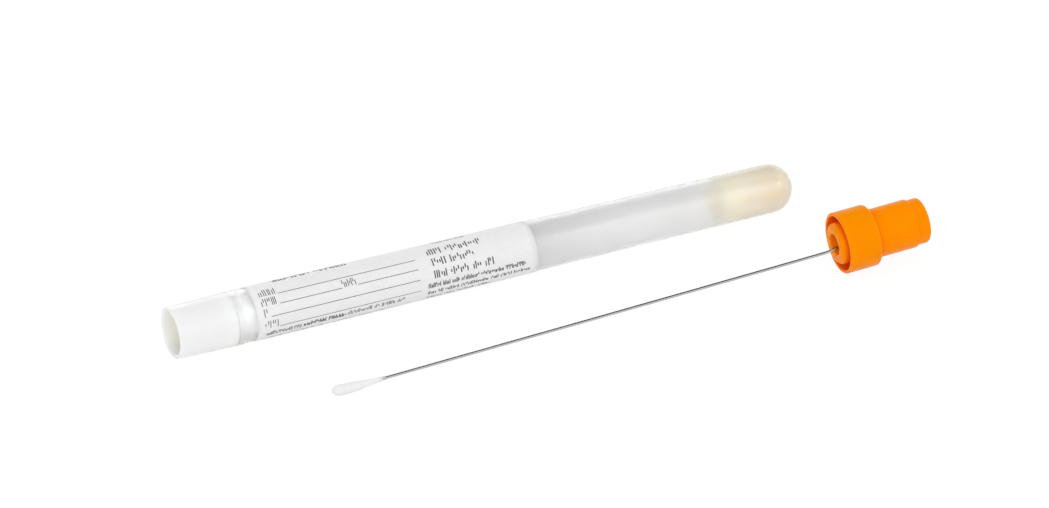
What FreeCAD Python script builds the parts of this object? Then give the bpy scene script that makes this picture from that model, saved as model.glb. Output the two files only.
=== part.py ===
import FreeCAD, Part
import os
from math import asin, atan, cos, degrees, radians, sin, tan

# Specimen swab tube: a round-bottomed plastic tube with a pull-out plug, a wrapped paper label
# and a gel at its closed end, and the capped wire swab that belongs in it, laid alongside.
# Millimetres. The tube lies along +X with its mouth in the plane x = 0 and its closed end at +x.

V = FreeCAD.Vector
ORIGIN, ALONG = V(0, 0, 0), V(1, 0, 0)
COINCIDENT = 1e-6          # lengths below this are no length at all

# Tube
TUBE_LENGTH = 146.8        # mouth face to the outside of the round end
TUBE_MOUTH_RADIUS = 6.5
TUBE_DRAFT = 0.004         # fall in radius for each millimetre of length
TUBE_WALL = 1.05
TUBE_END_WALL = 1.3
MOUTH_BEAD = 0.12          # how far the thickened lip stands out
MOUTH_BEAD_LENGTH = 2.0
MOUTH_BEAD_RUNOUT = 0.36   # length in which the lip falls back to the tube
LIP_ROUND = 0.3
BORE_LEAD = 0.25           # chamfer that guides a plug into the bore

# Label and gel
LABEL_START = 4.8          # from the mouth face
LABEL_LENGTH = 72.7
LABEL_THICKNESS = 0.1
LABEL_SEAM = 1.6           # bare strip between the label's two long edges
LABEL_SEAM_ANGLE = -25     # where the strip is, about the tube, from +y towards +z
GEL_DEPTH = 18.6           # gel surface to the inside of the round end
GEL_CLEARANCE = 0.02

# Mouth plug
GRIP_LENGTH = 15.1         # the part that stands out of the tube
GRIP_OVERHANG = 0.06       # seat radius beyond the tube's mouth radius
GRIP_TAPER = 0.25          # fall in radius from the seat to the outer rim
PLUG_WALL = 0.95
PLUG_FLOOR = 1.1
PLUG_ROUND = 0.4           # rounding of the outer rim and of the stem's end
PLUG_RIM_LAND = 0.1        # flat left on the rim between its two roundings
SEAT_GAP = 0.1             # grip's shoulder to the tube's mouth face
SEAT_ROUND = 0.2
STEM_LENGTH = 8.0
STEM_CLEARANCE = 0.25
SEAL_CLEARANCE = 0.08      # sealing rings to the bore
SEAL_WIDTH = 1.2
SEAL_PLACES = (1.9, 4.9)   # start of each sealing ring, from the mouth face

# Swab cap, measured along its own axis from the collar's rim towards the grip
CAP_LENGTH = 22.2
COLLAR_DEPTH = 7.2         # how far the collar passes over the tube's mouth
COLLAR_CLEARANCE = 0.08
COLLAR_WALL = 0.85
COLLAR_ROUND = 0.38
COLLAR_INNER_ROUND = 0.25
SHOULDER_START = 0.45      # the shoulder starts to round this far beyond the groove's floor
SHOULDER_ROUND = 0.8
SHOULDER_LEAN = 15         # slope of the shoulder's face, in degrees
SHOULDER_FILLET = 0.5
CAP_GRIP_STEP = 1.58       # fall in radius from the collar to the grip
CAP_BAND_STEP = 0.4        # fall in radius at the end band
CAP_BAND_LENGTH = 3.0
CAP_END_ROUND = 0.6
CAP_RECESS_WALL = 0.95
CAP_WEB = 1.0              # left between the shaft's socket and the recess in the rear end
CAP_BORE_RADIUS = 2.55
CAP_BORE_DEPTH = 10.0
CAP_NOSE = 1.1             # how far the inner plug stands out past the collar's rim
CAP_NOSE_ROUND = 1.4
CAP_NOSE_INNER_ROUND = 0.4
CAP_NOSE_TAPER = 0.32      # fall in radius from the sealing land to the nose
CAP_NOSE_LAND = 2.7        # length of the sealing land above the groove's floor

# Swab shaft and bud
WIRE_RADIUS = 0.35
SHAFT_SOCKET_DEPTH = 3.0   # length held in the floor of the cap's bore
SHAFT_SOCKET_LEAD = 1.0    # how far the socket's cutter starts before the bore's floor
SHAFT_CLEARANCE = 0.05
SHAFT_ASIDE = 1.2          # the shaft's place in the bore, off the cap's axis
SHAFT_BELOW = 0.9
BUD_LENGTH = 14.0
BUD_RADIUS = 1.32
BUD_FATTEST = 3.3          # from the bud's tip
BUD_WAIST = 10.8           # from the tip to where the fibre thins out along the shaft
BUD_WAIST_RADIUS = 0.68
BUD_TIP_RADIUS = 0.95
BUD_NECK_WALL = 0.13       # fibre around the shaft where the bud ends
BUD_SWELL = 0.09           # how far the bud's sides bow out from nose to waist
BUD_COVER = 1.5            # fibre beyond the shaft's end
BUD_TIP_CLEARANCE = 5.6    # bud to the inside of the round end, with the cap pushed home

# The swab's place beside the tube
SWAB_SPACING = 30.2        # between the two axes
SWAB_TIP_X = 12.9          # bud's tip, from the tube's mouth face

TUBE_LIP_RADIUS = TUBE_MOUTH_RADIUS + MOUTH_BEAD
BORE_MOUTH_RADIUS = TUBE_MOUTH_RADIUS - TUBE_WALL
TUBE_INSIDE_END = TUBE_LENGTH - TUBE_END_WALL
GROOVE_RADIUS = TUBE_LIP_RADIUS + COLLAR_CLEARANCE
COLLAR_RADIUS = GROOVE_RADIUS + COLLAR_WALL
SHAFT_HOLE_RADIUS = WIRE_RADIUS + SHAFT_CLEARANCE


def bend(centre_x, centre_r, radius, start, end):
    """Arc of a profile about a centre, between two angles in degrees from +x towards +r."""
    return [(centre_x + radius * cos(radians(a)), centre_r + radius * sin(radians(a)))
            for a in (start, (start + end) / 2, end)]


def bow(start, end, rise):
    """Arc of a profile between two points that bows out by a rise at its middle."""
    middle = ((start[0] + end[0]) / 2, (start[1] + end[1]) / 2 + rise)
    return [start, middle, end]


def spin(profile, turn=360):
    """Solid swept about the x axis by a closed profile of (x, r) points and bends."""
    edges = []
    at = first = None
    for item in profile:
        points = [V(x, r, 0) for x, r in (item if isinstance(item, list) else [item])]
        if at is None:
            first = points[0]
        elif at.distanceToPoint(points[0]) > COINCIDENT:
            edges.append(Part.LineSegment(at, points[0]).toShape())
        if len(points) == 3:
            edges.append(Part.Arc(*points).toShape())
        at = points[-1]
    edges.append(Part.LineSegment(at, first).toShape())
    solid = Part.Face(Part.Wire(edges)).revolve(ORIGIN, ALONG, turn)
    if solid.Volume < 0:
        solid.reverse()
    return solid


def drafted(mouth_radius, x):
    """Radius at x of a surface that has this radius at the mouth and the tube's draft."""
    return mouth_radius - TUBE_DRAFT * x


def round_end(mouth_radius, tip_x, start, end):
    """Arc of the ball that closes a drafted surface; 1 is where it leaves the cone, 0 its tip."""
    lean = atan(TUBE_DRAFT)
    radius = drafted(mouth_radius, tip_x) / (cos(lean) - TUBE_DRAFT * (1 - sin(lean)))
    tangent = 90 - degrees(lean)
    return bend(tip_x - radius, 0, radius, tangent * start, tangent * end)


def tube():
    bead_end = MOUTH_BEAD_LENGTH + MOUTH_BEAD_RUNOUT
    return spin([
        (0, BORE_MOUTH_RADIUS + BORE_LEAD),
        bend(LIP_ROUND, TUBE_LIP_RADIUS - LIP_ROUND, LIP_ROUND, 180, 90),
        (MOUTH_BEAD_LENGTH, TUBE_LIP_RADIUS),
        (bead_end, drafted(TUBE_MOUTH_RADIUS, bead_end)),
        round_end(TUBE_MOUTH_RADIUS, TUBE_LENGTH, 1, 0),
        round_end(BORE_MOUTH_RADIUS, TUBE_INSIDE_END, 0, 1),
        (BORE_LEAD, drafted(BORE_MOUTH_RADIUS, BORE_LEAD)),
    ])


def label():
    """Thin sleeve that lies on the tube, open along its seam."""
    start, end = LABEL_START, LABEL_START + LABEL_LENGTH
    inner = [(x, drafted(TUBE_MOUTH_RADIUS, x)) for x in (end, start)]
    outer = [(x, drafted(TUBE_MOUTH_RADIUS + LABEL_THICKNESS, x)) for x in (start, end)]
    seam = degrees(LABEL_SEAM / TUBE_MOUTH_RADIUS)
    sleeve = spin(inner + outer, 360 - seam)
    sleeve.rotate(ORIGIN, ALONG, LABEL_SEAM_ANGLE + seam / 2)
    return sleeve


def gel():
    """Plug of gel that fills the round end."""
    surface_x = TUBE_INSIDE_END - GEL_DEPTH
    radius = BORE_MOUTH_RADIUS - GEL_CLEARANCE
    return spin([
        (surface_x, 0),
        (surface_x, drafted(radius, surface_x)),
        round_end(radius, TUBE_INSIDE_END - GEL_CLEARANCE, 1, 0),
    ])


def mouth_plug():
    """Hollow push-in plug: a grip open to the outside and a ringed stem in the tube's bore."""
    seat_radius = TUBE_MOUTH_RADIUS + GRIP_OVERHANG
    rim_radius = seat_radius - GRIP_TAPER
    stem_radius = drafted(BORE_MOUTH_RADIUS, STEM_LENGTH) - STEM_CLEARANCE
    rings = []
    for place in SEAL_PLACES:
        ring_end = place + SEAL_WIDTH
        ring_radius = drafted(BORE_MOUTH_RADIUS, ring_end) - SEAL_CLEARANCE
        slope = ring_radius - stem_radius
        rings += [(place, stem_radius), (place + slope, ring_radius),
                  (ring_end - slope, ring_radius), (ring_end, stem_radius)]
    inner_round = PLUG_WALL - PLUG_ROUND - PLUG_RIM_LAND
    return spin([
        bend(PLUG_ROUND - GRIP_LENGTH, rim_radius - PLUG_ROUND, PLUG_ROUND, 180, 90),
        bend(-SEAT_GAP - SEAT_ROUND, seat_radius - SEAT_ROUND, SEAT_ROUND, 90, 0),
        (-SEAT_GAP, stem_radius),
        *rings,
        bend(STEM_LENGTH - PLUG_ROUND, stem_radius - PLUG_ROUND, PLUG_ROUND, 90, 0),
        (STEM_LENGTH, 0),
        (STEM_LENGTH - PLUG_FLOOR, 0),
        (STEM_LENGTH - PLUG_FLOOR, stem_radius - PLUG_WALL),
        (-SEAT_GAP, stem_radius - PLUG_WALL),
        bend(inner_round - GRIP_LENGTH, rim_radius - PLUG_WALL + inner_round, inner_round, 270, 180),
    ])


def swab_cap():
    """One moulding: a collar that covers the tube's lip, an inner plug that seals it, and a grip."""
    seal_radius = BORE_MOUTH_RADIUS - SEAL_CLEARANCE
    nose_radius = seal_radius - CAP_NOSE_TAPER
    grip_radius = COLLAR_RADIUS - CAP_GRIP_STEP
    band_radius = grip_radius - CAP_BAND_STEP
    recess_radius = band_radius - CAP_RECESS_WALL
    recess_floor = CAP_BORE_DEPTH + SHAFT_SOCKET_DEPTH + CAP_WEB

    nose_inner = bend(CAP_NOSE_INNER_ROUND - CAP_NOSE, CAP_BORE_RADIUS + CAP_NOSE_INNER_ROUND,
                      CAP_NOSE_INNER_ROUND, 270, 180)
    shoulder = bend(COLLAR_DEPTH + SHOULDER_START, COLLAR_RADIUS - SHOULDER_ROUND,
                    SHOULDER_ROUND, 90, SHOULDER_LEAN)
    fillet_height = grip_radius + SHOULDER_FILLET
    drop = shoulder[-1][1] - (fillet_height - SHOULDER_FILLET * sin(radians(SHOULDER_LEAN)))
    fillet_x = (shoulder[-1][0] + drop * tan(radians(SHOULDER_LEAN))
                + SHOULDER_FILLET * cos(radians(SHOULDER_LEAN)))

    cap = spin([
        (CAP_BORE_DEPTH, 0),
        (CAP_BORE_DEPTH, CAP_BORE_RADIUS),
        nose_inner,
        bend(CAP_NOSE_ROUND - CAP_NOSE, nose_radius - CAP_NOSE_ROUND, CAP_NOSE_ROUND, 180, 90),
        (COLLAR_DEPTH - CAP_NOSE_LAND, seal_radius),
        (COLLAR_DEPTH, seal_radius),
        (COLLAR_DEPTH, GROOVE_RADIUS),
        bend(COLLAR_INNER_ROUND, GROOVE_RADIUS + COLLAR_INNER_ROUND, COLLAR_INNER_ROUND, 270, 180),
        bend(COLLAR_ROUND, COLLAR_RADIUS - COLLAR_ROUND, COLLAR_ROUND, 180, 90),
        shoulder,
        bend(fillet_x, fillet_height, SHOULDER_FILLET, 180 + SHOULDER_LEAN, 270),
        (CAP_LENGTH - CAP_BAND_LENGTH - CAP_BAND_STEP, grip_radius),
        (CAP_LENGTH - CAP_BAND_LENGTH, band_radius),
        bend(CAP_LENGTH - CAP_END_ROUND, band_radius - CAP_END_ROUND, CAP_END_ROUND, 90, 0),
        (CAP_LENGTH, recess_radius),
        (recess_floor, recess_radius),
        (recess_floor, 0),
    ])
    socket = Part.makeCylinder(SHAFT_HOLE_RADIUS, SHAFT_SOCKET_LEAD + SHAFT_SOCKET_DEPTH,
                               V(CAP_BORE_DEPTH - SHAFT_SOCKET_LEAD, -SHAFT_ASIDE, -SHAFT_BELOW), ALONG)
    return cap.cut(socket)


def fibre_bud(tip_x):
    """Wound fibre tip with a blind core for the shaft; it tapers back to its neck."""
    nose = bend(tip_x + BUD_TIP_RADIUS, 0, BUD_TIP_RADIUS, 180, 105)
    fattest = (tip_x + BUD_FATTEST, BUD_RADIUS)
    waist = (tip_x + BUD_WAIST, BUD_WAIST_RADIUS)
    neck = (tip_x + BUD_LENGTH, SHAFT_HOLE_RADIUS + BUD_NECK_WALL)
    return spin([
        nose,
        bow(nose[-1], fattest, BUD_SWELL),
        bow(fattest, waist, BUD_SWELL),
        neck,
        (neck[0], SHAFT_HOLE_RADIUS),
        (tip_x + BUD_COVER, SHAFT_HOLE_RADIUS),
        (tip_x + BUD_COVER, 0),
    ])


# The swab is built about its cap's axis with the collar's rim at 0, then laid down so that the
# collar's rim and the bud's fattest part touch the surface that the tube lies on.
reach = TUBE_INSIDE_END - BUD_TIP_CLEARANCE - COLLAR_DEPTH
shaft_start = BUD_COVER - reach
shaft_end = CAP_BORE_DEPTH + SHAFT_SOCKET_DEPTH - SHAFT_CLEARANCE
shaft_place = V(0, -SHAFT_ASIDE, -SHAFT_BELOW)
swab = {
    "swab_cap": swab_cap(),
    "shaft_wire": Part.makeCylinder(WIRE_RADIUS, shaft_end - shaft_start, V(shaft_start, 0, 0), ALONG),
    "fibre_bud": fibre_bud(-reach),
}
for name in ("shaft_wire", "fibre_bud"):
    swab[name].translate(shaft_place)

pitch = asin((COLLAR_RADIUS - SHAFT_BELOW - BUD_RADIUS) / (reach - BUD_FATTEST))
collar_height = (COLLAR_RADIUS - COLLAR_ROUND) * cos(pitch) + COLLAR_ROUND * (1 - sin(pitch))
rim_place = V(SWAB_TIP_X + reach * cos(pitch), -SWAB_SPACING, collar_height - TUBE_LIP_RADIUS)
for shape in swab.values():
    shape.rotate(ORIGIN, V(0, 1, 0), -degrees(pitch))
    shape.translate(rim_place)

nodes = {"tube": tube(), "form_label": label(), "medium_gel": gel(), "mouth_plug": mouth_plug(), **swab}

# The origin is the middle of the whole set's box, on the surface that it lies on.
box = Part.makeCompound(list(nodes.values())).optimalBoundingBox(False, False)
os.makedirs("parts", exist_ok=True)
for name, shape in nodes.items():
    shape.translate(V(-box.Center.x, -box.Center.y, -box.ZMin))
    shape.exportStep("parts/" + name + ".step")
    print(f"{name}: valid {shape.isValid()}, {len(shape.Solids)} solid, {shape.Volume:.1f} mm3, "
          f"x {shape.BoundBox.XMin:.2f} to {shape.BoundBox.XMax:.2f}")
print(f"box {box.XLength:.3f} x {box.YLength:.3f} x {box.ZLength:.3f}, mouth face at x = {-box.Center.x:.3f}, "
      f"tube axis at y = {-box.Center.y:.3f}, z = {-box.ZMin:.3f}, swab pitch {degrees(pitch):.3f}")
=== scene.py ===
import random
from math import ceil, cos, degrees, pi, radians, sin, tan

import bmesh
import bpy
from mathutils import Matrix, Vector, noise


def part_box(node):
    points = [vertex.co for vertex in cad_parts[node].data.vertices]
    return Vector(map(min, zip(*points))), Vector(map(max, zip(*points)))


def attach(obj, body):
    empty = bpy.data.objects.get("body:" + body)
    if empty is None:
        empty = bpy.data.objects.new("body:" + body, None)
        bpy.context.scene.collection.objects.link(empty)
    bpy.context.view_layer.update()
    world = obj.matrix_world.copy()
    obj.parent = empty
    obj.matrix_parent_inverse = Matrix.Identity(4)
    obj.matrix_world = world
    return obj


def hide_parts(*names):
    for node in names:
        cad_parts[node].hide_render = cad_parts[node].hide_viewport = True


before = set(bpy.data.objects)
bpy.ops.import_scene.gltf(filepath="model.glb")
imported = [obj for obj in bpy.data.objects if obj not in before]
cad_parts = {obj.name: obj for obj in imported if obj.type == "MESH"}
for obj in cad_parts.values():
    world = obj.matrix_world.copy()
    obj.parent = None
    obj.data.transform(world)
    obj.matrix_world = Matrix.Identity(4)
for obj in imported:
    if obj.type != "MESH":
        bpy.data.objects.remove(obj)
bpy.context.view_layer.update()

# ---------------------------------------------------------------- tube
# Clear polypropylene moulding with a thickened lip and a ball end. It is drafted to leave its
# core, and its wall is a little hazy, with faint flow wisps along it and a frosted lip.
MM = 0.001
TUBE_LENGTH = 146.8
TUBE_MOUTH_RADIUS = 6.5
TUBE_DRAFT = 0.004
TUBE_WALL = 1.05
TUBE_END_ROUNDING = 5.85
BORE_RADIUS = TUBE_MOUTH_RADIUS - TUBE_WALL
BORE_END = 145.5
BORE_END_ROUNDING = 4.8
BORE_CHAMFER = 0.25
BORE_EDGE_ROUNDING = 0.06
BORE_CHAMFER_ROUNDING = 0.1
LIP_STEP = 0.12
LIP_RADIUS = TUBE_MOUTH_RADIUS + LIP_STEP
LIP_LENGTH = 2.0
LIP_FOOT = 2.36
LIP_ROUNDING = 0.3
LIP_FOOT_ROUNDING = 0.4

ROUNDING_STEP = 7
ROUNDING_LEAST_STEPS = 3
TURN_STEPS = 144
MERGE_DISTANCE = 0.0005
SHARP_ANGLE = radians(35)
NOISE_LOW = 0.3
NOISE_HIGH = 0.7

# The tube lies level, and is drawn in millimetres about its own axis, from its mouth.
tube_low, tube_high = (Vector(corner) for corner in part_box("tube"))
tube_place = Matrix.Translation((
    tube_low.x, (tube_low.y + tube_high.y) / 2, (tube_low.z + tube_high.z) / 2))


def drafted(mouth_radius, x):
    """Radius of a drafted wall at a distance from the tube's mouth."""
    return mouth_radius - TUBE_DRAFT * x


def rounded(corners):
    """Points of a profile whose corners are (x, r) or (x, r, rounding)."""
    points = []
    for i, (x, r, *rounding) in enumerate(corners):
        here = Vector((x, r))
        if not rounding:
            points.append(here)
            continue
        back = (Vector(corners[i - 1][:2]) - here).normalized()
        ahead = (Vector(corners[i + 1][:2]) - here).normalized()
        half = back.angle(ahead) / 2
        centre = here + (back + ahead).normalized() * rounding[0] / sin(half)
        start = here + back * rounding[0] / tan(half) - centre
        sweep = (pi - 2 * half) * (1 if back.cross(ahead) < 0 else -1)
        steps = max(ROUNDING_LEAST_STEPS, ceil(abs(degrees(sweep)) / ROUNDING_STEP))
        for step in range(steps + 1):
            spoke = start.copy()
            spoke.rotate(Matrix.Rotation(sweep * step / steps, 2))
            points.append(centre + spoke)
    return points


def turned(profile, steps=TURN_STEPS):
    """Closed mesh turned about the x axis from a profile that starts and ends on that axis."""
    mesh = bmesh.new()
    points = [mesh.verts.new((x, r, 0)) for x, r in profile]
    edges = [mesh.edges.new(pair) for pair in zip(points, points[1:])]
    bmesh.ops.spin(mesh, geom=points + edges, cent=(0, 0, 0), axis=(1, 0, 0),
                   angle=2 * pi, steps=steps, use_merge=True)
    bmesh.ops.remove_doubles(mesh, verts=mesh.verts, dist=MERGE_DISTANCE)
    bmesh.ops.recalc_face_normals(mesh, faces=mesh.faces)
    return mesh


def make_piece(mesh, name, place, body, material, slot, *nodes):
    """Turns a mesh in millimetres into a piece that lies at its place and stands for CAD nodes."""
    for face in mesh.faces:
        face.smooth = True
    for edge in mesh.edges:
        edge.smooth = edge.calc_face_angle(0) < SHARP_ANGLE
    mesh.transform(place @ Matrix.Scale(MM, 4))
    data = bpy.data.meshes.new(name)
    mesh.to_mesh(data)
    mesh.free()
    piece = bpy.data.objects.new(name, data)
    bpy.context.collection.objects.link(piece)
    data.materials.append(material)
    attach(piece, body)
    if nodes:
        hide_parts(*nodes)
    return piece


def new_material(name, sockets):
    """Material whose Principled shader has the given sockets, and its node tree."""
    material = bpy.data.materials.new(name)
    material.use_nodes = True
    tree = material.node_tree
    for socket, value in sockets.items():
        tree.nodes["Principled BSDF"].inputs[socket].default_value = value
    return material, tree


def feed(tree, socket, value):
    """Feeds a socket of the material's Principled shader from another node."""
    tree.links.new(value, tree.nodes["Principled BSDF"].inputs[socket])


def add_node(tree, kind, inputs, **settings):
    """New node with settings, and with inputs that are fixed or come from other nodes."""
    node = tree.nodes.new(kind)
    for name, value in settings.items():
        setattr(node, name, value)
    for name, value in inputs.items():
        if isinstance(value, bpy.types.NodeSocket):
            tree.links.new(value, node.inputs[name])
        else:
            node.inputs[name].default_value = value
    return node


def grey(level):
    """Neutral colour of a level from 0, black, to 1, white."""
    return (level, level, level)


def cloud(tree, scale, stretch=(1, 1, 1), detail=4.0, distortion=0.0):
    """Noise on the object's own coordinates, in features to the metre."""
    place = tree.nodes.new("ShaderNodeTexCoord")
    mapping = add_node(tree, "ShaderNodeMapping", {
        "Vector": place.outputs["Object"], "Scale": stretch})
    texture = add_node(tree, "ShaderNodeTexNoise", {
        "Vector": mapping.outputs["Vector"], "Scale": scale, "Detail": detail,
        "Distortion": distortion})
    return texture.outputs["Fac"]


def spread(tree, value, low, high):
    """Maps a noise value to a range."""
    mapped = add_node(tree, "ShaderNodeMapRange", {
        "Value": value, "From Min": NOISE_LOW, "From Max": NOISE_HIGH,
        "To Min": low, "To Max": high})
    return mapped.outputs["Result"]


def between(tree, share, first, second):
    """Colour between two others, each of which is fixed or comes from another node."""
    ends = [(*colour, 1) if isinstance(colour, tuple) else colour for colour in (first, second)]
    mix = add_node(tree, "ShaderNodeMix", {"Factor": share, "A": ends[0], "B": ends[1]},
                   data_type="RGBA")
    return mix.outputs["Result"]


def mottled(tree, value, first, second):
    """Colour that wanders between two others with a noise value."""
    return between(tree, spread(tree, value, 0, 1), first, second)


def along_tube(tree, *stops):
    """Colour that changes along the tube; each stop is a distance from its mouth and a colour."""
    place = tree.nodes.new("ShaderNodeTexCoord")
    parts = add_node(tree, "ShaderNodeSeparateXYZ", {"Vector": place.outputs["Object"]})
    colour = stops[0][1]
    for (start, _), (end, after) in zip(stops, stops[1:]):
        share = add_node(tree, "ShaderNodeMapRange", {
            "Value": parts.outputs["X"], "From Min": tube_low.x + start * MM,
            "From Max": tube_low.x + end * MM}, interpolation_type="SMOOTHSTEP")
        colour = between(tree, share.outputs["Result"], colour, after)
    return colour


def mixed_shader(tree, share, first, second):
    """Shader between two others."""
    mix = add_node(tree, "ShaderNodeMixShader", {"Fac": share, 1: first, 2: second})
    return mix.outputs["Shader"]


def lit_through(tree, clearness):
    """Lets lamps shine through the clear wall on to what it holds."""
    path = tree.nodes.new("ShaderNodeLightPath")
    open_way = add_node(tree, "ShaderNodeBsdfTransparent", {"Color": (*grey(clearness), 1)})
    surface = mixed_shader(tree, path.outputs["Is Shadow Ray"],
                           tree.nodes["Principled BSDF"].outputs["BSDF"],
                           open_way.outputs["BSDF"])
    tree.links.new(surface, tree.nodes["Material Output"].inputs["Surface"])


# How rough the wall is, written as greys, and then its colours.
LIP_FROST = grey(0.6)
WALL_CLEAREST = grey(0.285)
WALL_HAZIEST = grey(0.32)
MIST_OVER_GEL = grey(0.36)
LIP_TINT = (0.885, 0.89, 0.885)
NECK_PAINTED_LIGHT = (0.985, 0.99, 0.985)
WALL_TINT = grey(0.80)
WISP_DARKEST = grey(0.83)
WISP_PALEST = grey(0.87)
GEL_WALL_TINT = (0.91, 0.91, 0.905)

tube_plastic, tree = new_material("hazy_clear_plastic", {
    "Transmission Weight": 0.82, "IOR": 1.49, "Coat Weight": 1.0, "Coat Roughness": 0.12})
haze = cloud(tree, scale=240, stretch=(0.35, 1, 1), detail=3, distortion=1.4)
clearing = mottled(tree, haze, WALL_CLEAREST, WALL_HAZIEST)
feed(tree, "Roughness", along_tube(
    tree, (5.0, LIP_FROST), (8.0, clearing), (118, clearing), (127, MIST_OVER_GEL)))
wisps = mottled(tree, haze, WISP_DARKEST, WISP_PALEST)
# The wall is painted lighter towards the label's edge, to lift the shade the label casts into it.
feed(tree, "Base Color", along_tube(
    tree, (1.0, LIP_TINT), (4.6, NECK_PAINTED_LIGHT), (8.0, WALL_TINT), (78, WALL_TINT),
    (105, wisps), (119, wisps), (129, GEL_WALL_TINT)))
lit_through(tree, clearness=0.96)

tube = turned(rounded([
    (TUBE_LENGTH, 0),
    (TUBE_LENGTH, drafted(TUBE_MOUTH_RADIUS, TUBE_LENGTH), TUBE_END_ROUNDING),
    (LIP_FOOT, drafted(TUBE_MOUTH_RADIUS, LIP_FOOT), LIP_FOOT_ROUNDING),
    (LIP_LENGTH, LIP_RADIUS, LIP_ROUNDING),
    (0, LIP_RADIUS, LIP_ROUNDING),
    (0, BORE_RADIUS + BORE_CHAMFER, BORE_EDGE_ROUNDING),
    (BORE_CHAMFER, drafted(BORE_RADIUS, BORE_CHAMFER), BORE_CHAMFER_ROUNDING),
    (BORE_END, drafted(BORE_RADIUS, BORE_END), BORE_END_ROUNDING),
    (BORE_END, 0),
]))
make_piece(tube, "tube_body", tube_place, "tube_and_swab", tube_plastic, "tube_plastic", "tube")

# ---------------------------------------------------------------- label
# Paper label, wrapped round the tube's mouth half and stuck down, its long edges nearly meeting
# low on the far side. It is printed with ruled lines to write on, and with rows of separate
# upright ticks that stand for type and spell nothing.
LABEL_START = 4.8
LABEL_LENGTH = 72.7
LABEL_THICKNESS = 0.1
LABEL_SEAM = 1.6
LABEL_SEAM_ANGLE = radians(-25)
LABEL_FACE_ANGLE = radians(145)
LABEL_ARC = 2 * pi * TUBE_MOUTH_RADIUS - LABEL_SEAM
INK_LIFT = 0.006
RULE_WEIGHT = 0.14
WORD_GAP = 1.4
TICK_JITTER = 0.3
TICKS_PER_LETTER = 2
FORM_START = 6.5
FORM_HEIGHT = 1.9
FORM_WEIGHT = 0.2
PAPER_DULL = (0.87, 0.86, 0.87)
PAPER_BRIGHT = (0.91, 0.90, 0.91)
INK_FULL = (0.015, 0.015, 0.02)
INK_THIN = (0.05, 0.05, 0.055)


def wrap(mesh, lift):
    """Rolls a flat mesh on to the tube: its x is the place along the tube, its y the way down."""
    for vert in mesh.verts:
        along, down, out = vert.co
        angle = LABEL_FACE_ANGLE + down / TUBE_MOUTH_RADIUS
        radius = drafted(TUBE_MOUTH_RADIUS, along) + lift + out
        vert.co = (along, radius * cos(angle), radius * sin(angle))


def add_patch(mesh, middle, size, cells_along, cells_down):
    """Adds a flat rectangle, cut into cells so that it can be rolled."""
    bmesh.ops.create_grid(
        mesh, x_segments=cells_along, y_segments=cells_down, size=0.5,
        matrix=Matrix.Translation((*middle, 0)) @ Matrix.Diagonal((*size, 1, 1)))


def bumped(tree, value, height):
    """Bump of a height in millimetres from a noise value."""
    bump = add_node(tree, "ShaderNodeBump", {
        "Height": value, "Strength": 1.0, "Distance": height * MM})
    feed(tree, "Normal", bump.outputs["Normal"])


paper, tree = new_material("label_paper", {
    "Roughness": 0.5, "Specular IOR Level": 0.4, "Subsurface Weight": 0.5,
    "Subsurface Radius": (1.0, 1.0, 1.0), "Subsurface Scale": 0.3 * MM})
fibres = cloud(tree, scale=1500, stretch=(0.6, 1, 1), detail=6)
feed(tree, "Base Color", mottled(tree, fibres, PAPER_DULL, PAPER_BRIGHT))
bumped(tree, fibres, height=0.01)

seam_down = (LABEL_SEAM_ANGLE - LABEL_FACE_ANGLE) * TUBE_MOUTH_RADIUS + LABEL_SEAM / 2
sheet = bmesh.new()
add_patch(sheet, (LABEL_START + LABEL_LENGTH / 2, seam_down + LABEL_ARC / 2),
          (LABEL_LENGTH, LABEL_ARC), cells_along=40, cells_down=132)
wrap(sheet, LABEL_THICKNESS)
bmesh.ops.reverse_faces(sheet, faces=sheet.faces)
label = make_piece(sheet, "label_sheet", tube_place, "tube_and_swab", paper, "label_paper",
                   "form_label")
backing = label.modifiers.new("paper", "SOLIDIFY")
backing.thickness = LABEL_THICKNESS * MM
backing.offset = -1

ink, tree = new_material("printing_ink", {"Roughness": 0.45})
feed(tree, "Base Color", mottled(tree, cloud(tree, scale=6000), INK_FULL, INK_THIN))

pen = random.Random(7)
printing = bmesh.new()


def stroke(start, end, top, bottom):
    """A printed bar between two places along the tube and two places down it."""
    add_patch(printing, ((start + end) / 2, (top + bottom) / 2), (end - start, bottom - top),
              cells_along=1, cells_down=4)


# Where a tick stands and how high it reaches, as shares of its row's height.
TICKS = ((0.0, 1.0), (0.0, 1.0), (0.0, 0.66), (0.0, 0.66), (0.5, 1.0), (0.3, 0.7))


def type_row(start, end, base, height, weight, words):
    """A row of print as words of plain separate ticks, each given by its number of letters."""
    room = (end - start) / (TICKS_PER_LETTER * sum(words) + WORD_GAP * (len(words) - 1))
    at = start
    for letters in words:
        for _ in range(TICKS_PER_LETTER * letters):
            foot, head = pen.choice(TICKS)
            left = at + TICK_JITTER * room * pen.random()
            stroke(left, left + weight, base - head * height, base - foot * height)
            at += room
        at += WORD_GAP * room


# The form: each row's place down the label, the end and the letters of its word, and its rules.
for base, word_end, letters, rules in (
        (-3.5, 11.15, 4, ((11.5, 46.9),)),
        (-0.95, 10.5, 4, ((11.1, 27.2), (31.2, 46.9))),
        (1.65, 7.9, 1, ((8.35, 46.95),)),
        (4.6, 10.2, 3, ((10.3, 46.9),))):
    type_row(FORM_START, word_end, base, FORM_HEIGHT, FORM_WEIGHT, (letters,))
    for rule_start, rule_end in rules:
        stroke(rule_start, rule_end, base, base + RULE_WEIGHT)

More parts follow.
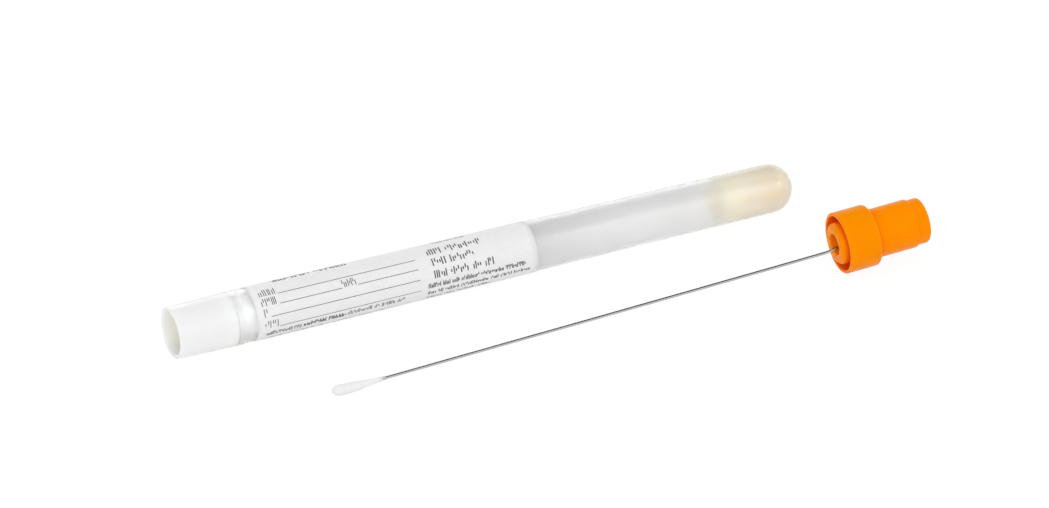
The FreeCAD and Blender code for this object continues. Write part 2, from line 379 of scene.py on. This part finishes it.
# The other rows: start, end, place down the label, height and weight of the ticks, and words.
for row in ((27.3, 31.0, -0.95, FORM_HEIGHT, FORM_WEIGHT, (4,)),
            (11.9, 31.0, -7.75, 2.2, 0.45, (7, 6)),
            (6.95, 16.0, 7.15, 1.3, 0.18, (11, 3)),
            (16.5, 27.4, 6.95, 1.4, 0.26, (8, 6)),
            (28.0, 42.9, 6.7, 1.3, 0.18, (9, 2, 5, 3)),
            (7.6, 41.4, 9.4, 0.9, 0.2, (6, 9, 4, 8, 5, 7)),
            (53.0, 61.6, -8.0, 0.9, 0.2, (5, 4, 4)),
            (50.3, 64.4, -3.9, 1.9, 0.3, (3, 7)),
            (50.6, 61.8, -0.9, 1.9, 0.3, (3, 5)),
            (50.45, 66.2, 2.15, 1.9, 0.3, (3, 4, 2, 2)),
            (48.8, 74.2, 4.5, 1.3, 0.22, (5, 3, 3, 7, 9, 8)),
            (48.7, 75.5, 6.55, 1.2, 0.22, (3, 2, 5, 10, 3, 4, 6)),
            (48.8, 65.3, 8.5, 0.9, 0.2, (6, 4, 7, 5))):
    type_row(*row)
wrap(printing, LABEL_THICKNESS + INK_LIFT)
bmesh.ops.reverse_faces(printing, faces=printing.faces)
make_piece(printing, "label_print", tube_place, "tube_and_swab", ink, "label_paper")

# ---------------------------------------------------------------- gel
# Cloudy semi-solid medium, poured in warm and set in the ball end. It wets the wall, so nothing
# shows between the two, and its face has sunk a little in the middle.
GEL_FACE = 126.9
GEL_SINK = 0.5
GEL_SINK_RADIUS = 3.2
GEL_SINK_ROUNDING = 2.0
GEL_RIM = 0.3
GEL_INTO_WALL = 0.03
GEL_END = BORE_END + GEL_INTO_WALL
GEL_END_ROUNDING = 4.82
FACE_TURNS_FROM = -0.4
FACE_TURNS_TO = -0.8
GEL_CLOUDED = (0.86, 0.79, 0.63)
GEL_MILKY = (0.89, 0.83, 0.70)
GEL_RIM_CREAM = (0.86, 0.79, 0.60)
GEL_PALE_CREAM = (0.90, 0.84, 0.67)
GEL_DEEP_CREAM = (0.83, 0.725, 0.53)
GEL_FACE_CREAM = (0.89, 0.775, 0.48)

gel_medium, tree = new_material("set_gel", {
    "Roughness": 0.3, "IOR": 1.34, "Subsurface Weight": 1.0,
    "Subsurface Radius": (1.0, 0.9, 0.65), "Subsurface Scale": 6 * MM})
clouding = cloud(tree, scale=160, stretch=(0.6, 1, 1), detail=3, distortion=0.6)
milky = mottled(tree, clouding, GEL_CLOUDED, GEL_MILKY)
bulk = along_tube(
    tree, (GEL_FACE - GEL_RIM, GEL_RIM_CREAM), (GEL_FACE + 3, GEL_PALE_CREAM),
    (GEL_FACE + 7, milky), (TUBE_LENGTH - 4, GEL_DEEP_CREAM))
facing = tree.nodes.new("ShaderNodeNewGeometry")
parts = add_node(tree, "ShaderNodeSeparateXYZ", {"Vector": facing.outputs["Normal"]})
open_face = add_node(tree, "ShaderNodeMapRange", {
    "Value": parts.outputs["X"], "From Min": FACE_TURNS_FROM, "From Max": FACE_TURNS_TO})
feed(tree, "Base Color", between(tree, open_face.outputs["Result"], bulk, GEL_FACE_CREAM))

gel = turned(rounded([
    (GEL_FACE + GEL_SINK, 0),
    (GEL_FACE + GEL_SINK, GEL_SINK_RADIUS, GEL_SINK_ROUNDING),
    (GEL_FACE - GEL_RIM, drafted(BORE_RADIUS, GEL_FACE) + GEL_INTO_WALL),
    (GEL_END, drafted(BORE_RADIUS, BORE_END) + GEL_INTO_WALL, GEL_END_ROUNDING),
    (GEL_END, 0),
]))
make_piece(gel, "gel_fill", tube_place, "tube_and_swab", gel_medium, "gel", "medium_gel")

# ---------------------------------------------------------------- mouth plug
# Soft white polyethylene moulding. The hollow grip seats on the tube's lip, and the stem behind it
# holds in the bore by two rings. The thick stem is a shade greener than the thin grip, and is
# painted lighter to lift the shade it lies in behind the wall and the label. Its hollows and its
# recess carry painted light and shade.
GRIP_LENGTH = 15.1
GRIP_END_RADIUS = 6.31
GRIP_SEAT_RADIUS = 6.56
RECESS_MOUTH_RADIUS = 5.36
SEAT_GAP = 0.03
STEM_LENGTH = 8.0
STEM_CLEARANCE = 0.25
STEM_RADIUS = drafted(BORE_RADIUS, STEM_LENGTH) - STEM_CLEARANCE
STEM_WALL = 0.95
STEM_BORE = STEM_RADIUS - STEM_WALL
STEM_WEB = 1.1
STEM_CORNER = 0.05
RING_STARTS = (1.9, 4.9)
RING_WIDTH = 1.2
RING_SLOPE = 0.17
RING_ROUNDING = 0.08
RING_CLEARANCE = 0.08
INSIDE_RADIUS = 5.7
THIN_WHITE = (0.855, 0.85, 0.85)
STEM_WHITE_PAINTED_LIGHTER = (0.94, 0.945, 0.925)
HOLLOW_PAINTED_GLOW = (1.0, 1.0, 0.97)
RECESS_RIM_PAINTED_LIGHT = (1.0, 1.0, 0.985)
RECESS_PAINTED_SHADE = (0.91, 0.885, 0.77)
RECESS_FLOOR_WHITE = (0.975, 0.975, 0.945)


def painted_hollow_light(tree, colour, painted_colour, reach):
    """Paints a colour into hollows found by ambient occlusion, as painted glow and shade."""
    hollow = add_node(tree, "ShaderNodeAmbientOcclusion", {"Distance": reach * MM}, samples=8)
    return between(tree, hollow.outputs["AO"], painted_colour, colour)


def near_axis(tree, radius):
    """1 within a distance of the tube's axis and 0 beyond it."""
    place = tree.nodes.new("ShaderNodeTexCoord")
    from_mouth = add_node(tree, "ShaderNodeVectorMath", {
        0: place.outputs["Object"], 1: tube_place.translation}, operation="SUBTRACT")
    across = add_node(tree, "ShaderNodeVectorMath", {
        0: from_mouth.outputs["Vector"], 1: (0, 1, 1)}, operation="MULTIPLY")
    distance = add_node(tree, "ShaderNodeVectorMath", {
        0: across.outputs["Vector"]}, operation="LENGTH")
    near = add_node(tree, "ShaderNodeMath", {
        0: distance.outputs["Value"], 1: radius * MM}, operation="LESS_THAN")
    return near.outputs["Value"]


plug_plastic, tree = new_material("soft_white_plastic", {
    "Roughness": 0.36, "IOR": 1.51, "Subsurface Weight": 0.8,
    "Subsurface Radius": (1.0, 0.97, 0.85), "Subsurface Scale": 4 * MM})
# The stem is painted lighter than the grip, to lift the shade it lies in inside the tube.
thickness = along_tube(tree, (-5, THIN_WHITE), (0.5, STEM_WHITE_PAINTED_LIGHTER))
# Hollows are painted a warmer, brighter white: a painted glow for light coming through the wall.
outer_white_painted_glow = painted_hollow_light(tree, thickness, HOLLOW_PAINTED_GLOW, reach=8.0)
# Inside the recess: painted light at the open rim, painted cream shade deeper in, and white
# towards the floor.
recess_painted_light_and_shade = along_tube(
    tree, (-14.8, RECESS_RIM_PAINTED_LIGHT), (-12.6, RECESS_PAINTED_SHADE), (-6, RECESS_PAINTED_SHADE),
    (-3, RECESS_FLOOR_WHITE))
feed(tree, "Base Color", between(tree, near_axis(tree, INSIDE_RADIUS), outer_white_painted_glow, recess_painted_light_and_shade))
bumped(tree, cloud(tree, scale=700, detail=5), height=0.006)

ring_profile = []
for ring_start in RING_STARTS:
    ring_end = ring_start + RING_WIDTH
    ring_radius = drafted(BORE_RADIUS, ring_end) - RING_CLEARANCE
    ring_profile += [
        (ring_start, STEM_RADIUS, STEM_CORNER),
        (ring_start + RING_SLOPE, ring_radius, RING_ROUNDING),
        (ring_end - RING_SLOPE, ring_radius, RING_ROUNDING),
        (ring_end, STEM_RADIUS, STEM_CORNER)]
plug = turned(rounded([
    (STEM_LENGTH - STEM_WEB, 0),
    (STEM_LENGTH - STEM_WEB, STEM_BORE, 0.5),
    (-SEAT_GAP, STEM_BORE, 0.6),
    (-GRIP_LENGTH, RECESS_MOUTH_RADIUS, 0.45),
    (-GRIP_LENGTH, GRIP_END_RADIUS, 0.4),
    (-SEAT_GAP, GRIP_SEAT_RADIUS, 0.2),
    (-SEAT_GAP, STEM_RADIUS, STEM_CORNER),
    *ring_profile,
    (STEM_LENGTH, STEM_RADIUS, 0.4),
    (STEM_LENGTH, 0),
]))
make_piece(plug, "plug_body", tube_place, "plug", plug_plastic, "plug_plastic", "mouth_plug")

# ---------------------------------------------------------------- swab cap
# Orange polyethylene moulding that closes the tube once the swab is in it: a collar to cover the
# lip, an inner plug whose bore holds the shaft, and a narrower grip with a recess in its rear end.
CAP_LENGTH = 22.2
COLLAR_DEPTH = 7.2
COLLAR_RADIUS = 7.55
COLLAR_END = 8.26
GROOVE_RADIUS = 6.7
GROOVE_ROUNDING = 0.25
NOSE_START = -1.1
NOSE_RADIUS = 5.05
SEAL_START = 4.5
SEAL_RADIUS = 5.37
CAP_BORE_RADIUS = 2.55
CAP_BORE_END = 10.0
CAP_GRIP_START = 8.69
CAP_GRIP_RADIUS = 5.97
CAP_GRIP_END = 18.8
CAP_BAND_START = 19.2
CAP_BAND_RADIUS = 5.57
BAND_CORNER = 0.15
REAR_RECESS_FLOOR = 14.0
REAR_RECESS_RADIUS = 4.62
ORANGE_DARKER = (0.96, 0.265, 0.0)
ORANGE_LIGHTER = (0.98, 0.28, 0.0)
ORANGE_PAINTED_HOLLOW_GLOW = (1.0, 0.08, 0.0)
WIRE_END_ZONE = 1.0


def wire_end(place):
    """Middle of the wire's end that lies nearest to a place along x."""
    wire_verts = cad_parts["shaft_wire"].data.vertices
    points = [v.co for v in wire_verts if abs(v.co.x - place) < WIRE_END_ZONE * MM]
    return sum(points, Vector()) / len(points)


def extent(node, direction):
    """Lowest and highest place of a node along a direction."""
    places = [v.co.dot(direction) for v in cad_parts[node].data.vertices]
    return min(places), max(places)


# The swab is drawn in millimetres about its cap's axis, from the collar's rim. It leans up from
# its bud, so its slope is read from the two ends of its wire.
wire_low, wire_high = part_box("shaft_wire")
swab_along = (wire_end(wire_high[0]) - wire_end(wire_low[0])).normalized()
swab_aside = Vector((0, 1, 0))
swab_up = swab_along.cross(swab_aside)
swab_axes = Matrix((swab_along, swab_aside, swab_up)).transposed().to_4x4()
cap_rim = (swab_along * (extent("swab_cap", swab_along)[1] - CAP_LENGTH * MM)
           + swab_aside * sum(extent("swab_cap", swab_aside)) / 2
           + swab_up * sum(extent("swab_cap", swab_up)) / 2)
swab_place = Matrix.Translation(cap_rim) @ swab_axes

cap_plastic, tree = new_material("orange_plastic", {
    "Roughness": 0.18, "IOR": 1.51, "Specular IOR Level": 0.05,
    "Specular Tint": (1.0, 0.6, 0.25, 1), "Subsurface Weight": 0.35,
    "Subsurface Radius": (1.0, 0.3, 0.05), "Subsurface Scale": 2 * MM})
swirl = cloud(tree, scale=220, detail=3, distortion=1.0)
dyed = mottled(tree, swirl, ORANGE_DARKER, ORANGE_LIGHTER)
# Hollows are painted a deeper red: painted glow and shade for light bouncing and shining through
# there.
feed(tree, "Base Color", painted_hollow_light(tree, dyed, ORANGE_PAINTED_HOLLOW_GLOW, reach=3.5))
bumped(tree, cloud(tree, scale=900, detail=5), height=0.008)

cap = turned(rounded([
    (CAP_BORE_END, 0),
    (CAP_BORE_END, CAP_BORE_RADIUS, 0.3),
    (NOSE_START, CAP_BORE_RADIUS, 0.4),
    (NOSE_START, NOSE_RADIUS, 1.4),
    (SEAL_START, SEAL_RADIUS, 1.0),
    (COLLAR_DEPTH, SEAL_RADIUS, GROOVE_ROUNDING),
    (COLLAR_DEPTH, GROOVE_RADIUS, GROOVE_ROUNDING),
    (0, GROOVE_RADIUS, GROOVE_ROUNDING),
    (0, COLLAR_RADIUS, 0.38),
    (COLLAR_END, COLLAR_RADIUS, 0.8),
    (CAP_GRIP_START, CAP_GRIP_RADIUS, 0.5),
    (CAP_GRIP_END, CAP_GRIP_RADIUS, BAND_CORNER),
    (CAP_BAND_START, CAP_BAND_RADIUS, BAND_CORNER),
    (CAP_LENGTH, CAP_BAND_RADIUS, 0.6),
    (CAP_LENGTH, REAR_RECESS_RADIUS, 0.2),
    (REAR_RECESS_FLOOR, REAR_RECESS_RADIUS, 0.4),
    (REAR_RECESS_FLOOR, 0),
]))
make_piece(cap, "cap_body", swab_place, "tube_and_swab", cap_plastic, "cap_plastic", "swab_cap")

# ---------------------------------------------------------------- shaft
# One soft aluminium wire, drawn and straightened. It comes out of the cap's bore aside of its
# middle, where its own weight has bent it a little, and it wavers slightly along its length.
REACH = 132.7
SHAFT_PLACE = Vector((0, -1.2, -0.9))
SHAFT_END = 12.9
WIRE_RADIUS = 0.35
BUD_COVER = 1.5
CAP_BEND_LENGTH = 4.5
CAP_BEND_RISE = 0.45
LONG_BEND_RISE = 0.15
WAVER = 0.05
WAVER_PACE = 0.04
WAVER_LANE = 9
METAL_DARKER = (0.46, 0.45, 0.45)
METAL_LIGHTER = (0.54, 0.53, 0.54)

wire, tree = new_material("drawn_aluminium", {
    "Metallic": 1.0, "Specular Tint": (0.4, 0.4, 0.4, 1)})
drawing = cloud(tree, scale=9000, stretch=(0.05, 1, 1))
feed(tree, "Roughness", spread(tree, drawing, low=0.12, high=0.2))
feed(tree, "Base Color", mottled(tree, drawing, METAL_DARKER, METAL_LIGHTER))

shaft = bmesh.new()
shaft_start = BUD_COVER - REACH
shaft_length = SHAFT_END - shaft_start
bmesh.ops.create_cone(shaft, cap_ends=True, segments=20, radius1=WIRE_RADIUS,
                      radius2=WIRE_RADIUS, depth=shaft_length)
bmesh.ops.rotate(shaft, verts=shaft.verts, cent=(0, 0, 0), matrix=Matrix.Rotation(pi / 2, 3, "Y"))
bmesh.ops.translate(shaft, verts=shaft.verts, vec=(shaft_start + shaft_length / 2, 0, 0))
long_edges = [e for e in shaft.edges if abs(e.verts[0].co.x - e.verts[1].co.x) > WIRE_RADIUS]
bmesh.ops.subdivide_edges(shaft, edges=long_edges, cuts=180, use_grid_fill=True)
for vert in shaft.verts:
    along = vert.co.x
    lifted = max(0.0, min(1.0, (along + CAP_BEND_LENGTH) / CAP_BEND_LENGTH))
    vert.co.z += CAP_BEND_RISE * lifted * lifted * (3 - 2 * lifted)
    vert.co.z += LONG_BEND_RISE * max(0.0, 1 + along / REACH) ** 4
    vert.co.y += WAVER * noise.noise(Vector((along * WAVER_PACE, WAVER_LANE, 0)))
bmesh.ops.recalc_face_normals(shaft, faces=shaft.faces)
shaft.transform(Matrix.Translation(SHAFT_PLACE))
make_piece(shaft, "shaft", swab_place, "tube_and_swab", wire, "wire", "shaft_wire")

# ---------------------------------------------------------------- fibre bud
# Spun white fibre, wound on the end of the shaft and thinned out along it. The winding shows as
# shallow slanting ridges, and where it runs out the dark wire shows through.
BUD_LENGTH = 14.0
BUD_RADIUS = 1.34
BUD_FATTEST = 3.2
BUD_WAIST = 11.0
BUD_WAIST_RADIUS = 0.64
BUD_NECK = 0.44
BUD_TIP_FULLNESS = 2.8
BUD_WAIST_FALL = 1.4
BUD_NECK_FALL = 0.8
BUD_STATIONS = 110
BUD_STATION_CROWDING = 1.5
TIP_BEND_LENGTH = 8.0
TIP_BEND_RISE = 0.32
WINDING_TWIST = 0.9
RIDGE_DEPTH = 0.06
RIDGE_ALONG = 0.5
RIDGE_ROUND = 4
LUMP_DEPTH = 0.07
LUMP_ALONG = 0.6
LUMP_SHIFT = Vector((5, 0, 0))
FIBRE_SHADED = (0.76, 0.75, 0.76)
FIBRE_WHITE = (0.87, 0.86, 0.87)
FIBRE_OVER_WIRE = (0.42, 0.415, 0.42)

fibre, tree = new_material("wound_fibre", {
    "Roughness": 0.8, "Sheen Weight": 0.3, "Sheen Roughness": 0.5, "Subsurface Weight": 0.3,
    "Subsurface Radius": (1.0, 1.0, 1.0), "Subsurface Scale": 0.6 * MM})
strands = cloud(tree, scale=9000, stretch=(0.25, 1, 1), detail=6)
woolly = mottled(tree, strands, FIBRE_SHADED, FIBRE_WHITE)
# The bud lies beside the tube, so the places of its colours are counted from the tube's mouth.
feed(tree, "Base Color", along_tube(tree, (24.6, woolly), (26.9, FIBRE_OVER_WIRE)))
bumped(tree, strands, height=0.03)


def bud_radius(place):
    """Radius of the bud at a distance from its tip."""
    if place < BUD_FATTEST:
        return BUD_RADIUS * (1 - (1 - place / BUD_FATTEST) ** BUD_TIP_FULLNESS) ** 0.5
    if place < BUD_WAIST:
        fall = (place - BUD_FATTEST) / (BUD_WAIST - BUD_FATTEST)
        return BUD_RADIUS + (BUD_WAIST_RADIUS - BUD_RADIUS) * fall ** BUD_WAIST_FALL
    fall = (place - BUD_WAIST) / (BUD_LENGTH - BUD_WAIST)
    return BUD_WAIST_RADIUS + (BUD_NECK - BUD_WAIST_RADIUS) * fall ** BUD_NECK_FALL


stations = [BUD_LENGTH * (step / BUD_STATIONS) ** BUD_STATION_CROWDING
            for step in range(BUD_STATIONS + 1)]
bud = turned([(place, bud_radius(place)) for place in stations] + [(BUD_LENGTH, 0)], steps=96)
bud.normal_update()
for vert in bud.verts:
    unwound = vert.co.copy()
    unwound.rotate(Matrix.Rotation(-WINDING_TWIST * vert.co.x, 3, "X"))
    ridge = noise.noise(Vector((
        unwound.x * RIDGE_ALONG, unwound.y * RIDGE_ROUND, unwound.z * RIDGE_ROUND)))
    lump = noise.noise(Vector((vert.co.x * LUMP_ALONG, vert.co.y, vert.co.z)) + LUMP_SHIFT)
    vert.co += vert.normal * min(RIDGE_DEPTH * ridge + LUMP_DEPTH * lump, 0.0)
    vert.co.z += TIP_BEND_RISE * max(0.0, 1 - unwound.x / TIP_BEND_LENGTH) ** 2
bud.transform(Matrix.Translation(SHAFT_PLACE - Vector((REACH, 0, 0))))
make_piece(bud, "bud_fibres", swab_place, "tube_and_swab", fibre, "bud_fibre", "fibre_bud")

# ---------------------------------------------------------------- floor, light and camera
# Pale table and soft light from the camera's side. The room is pale low down and dark overhead
# and behind, which gives the wire and the clear wall their dark lines.
TABLE_HALF = 3.0
TABLE_GLOW = 1.05
TABLE_GLOW_SHARE = 0.88
OVERHEAD = (0, 0.31, 0.95)


def larger(tree, first, second):
    """The larger of two values."""
    node = add_node(tree, "ShaderNodeMath", {0: first, 1: second}, operation="MAXIMUM")
    return node.outputs["Value"]


pale, tree = new_material("pale_table", {
    "Base Color": (0.88, 0.88, 0.88, 1), "Roughness": 0.9, "Specular IOR Level": 0.0})
# The table glows where it is seen, straight, mirrored or through the clear wall. So it looks white
# and lights the set no more than a matt table does.
glow = add_node(tree, "ShaderNodeEmission", {"Strength": TABLE_GLOW})
path = tree.nodes.new("ShaderNodeLightPath")
straight_or_mirrored = larger(tree, path.outputs["Is Camera Ray"], path.outputs["Is Glossy Ray"])
seen = larger(tree, straight_or_mirrored, path.outputs["Is Transmission Ray"])
share = add_node(tree, "ShaderNodeMath", {0: seen, 1: TABLE_GLOW_SHARE}, operation="MULTIPLY")
surface = mixed_shader(tree, share.outputs["Value"],
                       tree.nodes["Principled BSDF"].outputs["BSDF"], glow.outputs["Emission"])
tree.links.new(surface, tree.nodes["Material Output"].inputs["Surface"])

table = bmesh.new()
bmesh.ops.create_grid(table, x_segments=1, y_segments=1, size=TABLE_HALF)
data = bpy.data.meshes.new("floor")
table.to_mesh(data)
table.free()
floor = bpy.data.objects.new("floor", data)
bpy.context.collection.objects.link(floor)
data.materials.append(pale)


def room_light(tree, height, low, high, level_low, level_high):
    """Background that turns from one grey to another between two heights in the room."""
    share = add_node(tree, "ShaderNodeMapRange", {
        "Value": height, "From Min": low, "From Max": high}, interpolation_type="SMOOTHSTEP")
    colour = between(tree, share.outputs["Result"], grey(level_low), grey(level_high))
    return add_node(tree, "ShaderNodeBackground", {"Color": colour}).outputs["Background"]


# The camera and the clear wall see a white room, mirrored faces see the dark overhead, and the
# rest is lit by the pale room.
world = bpy.data.worlds.new("room")
world.use_nodes = True
bpy.context.scene.world = world
tree = world.node_tree
backdrop = tree.nodes["Background"]
backdrop.inputs["Color"].default_value = (1, 1, 1, 1)
direction = tree.nodes.new("ShaderNodeTexCoord")
parts = add_node(tree, "ShaderNodeSeparateXYZ", {"Vector": direction.outputs["Generated"]})
overhead = add_node(tree, "ShaderNodeVectorMath", {
    0: direction.outputs["Generated"], 1: OVERHEAD}, operation="DOT_PRODUCT")
lighting = room_light(tree, parts.outputs["Z"],
                      low=0.0, high=1.0, level_low=0.70, level_high=0.93)
mirrored = room_light(tree, overhead.outputs["Value"],
                      low=0.6, high=0.74, level_low=1.0, level_high=0.02)
path = tree.nodes.new("ShaderNodeLightPath")
straight = larger(tree, path.outputs["Is Camera Ray"], path.outputs["Is Transmission Ray"])
room = mixed_shader(tree, path.outputs["Is Glossy Ray"], lighting, mirrored)
tree.links.new(mixed_shader(tree, straight, room, backdrop.outputs["Background"]),
               tree.nodes["World Output"].inputs["Surface"])

VIEW_TURN = radians(-24)
VIEW_RISE = radians(33)
VIEW_DISTANCE = 2.876
LOOK_AT = Vector((3.19, 22.13, 0.15)) * MM
FIELD = radians(5.02)


def aimed(data, name, place, target):
    """Light or camera at a place, turned to face a target."""
    thing = bpy.data.objects.new(name, data)
    bpy.context.collection.objects.link(thing)
    thing.location = place
    thing.rotation_euler = (target - place).to_track_quat("-Z", "Y").to_euler()
    return thing


# The lamps: name, place, width and power. The one behind adds nothing to the light on matt faces.
for name, place, size, power in (("front_softbox", Vector((-0.68, -1.12, 0.65)), 0.25, 4.1),
                                 ("side_lamp", Vector((0.945, -0.825, 0.825)), 0.09, 2.0),
                                 ("back_softbox", Vector((0.1, 1.4, 0.5)), 0.75, 4.0)):
    light = bpy.data.lights.new(name, "AREA")
    light.size = size
    light.energy = power
    lamp = aimed(light, name, place, LOOK_AT)
    lamp.visible_diffuse = name != "back_softbox"

camera = bpy.data.cameras.new("camera")
camera.sensor_width = 36.0
camera.lens = camera.sensor_width / 2 / tan(FIELD / 2)
camera.clip_start = 0.1
camera.clip_end = 20.0
back = Vector((sin(VIEW_TURN) * cos(VIEW_RISE), -cos(VIEW_TURN) * cos(VIEW_RISE), sin(VIEW_RISE)))
bpy.context.scene.camera = aimed(camera, "camera", LOOK_AT + back * VIEW_DISTANCE, LOOK_AT)
bpy.context.scene.view_settings.view_transform = "Standard"
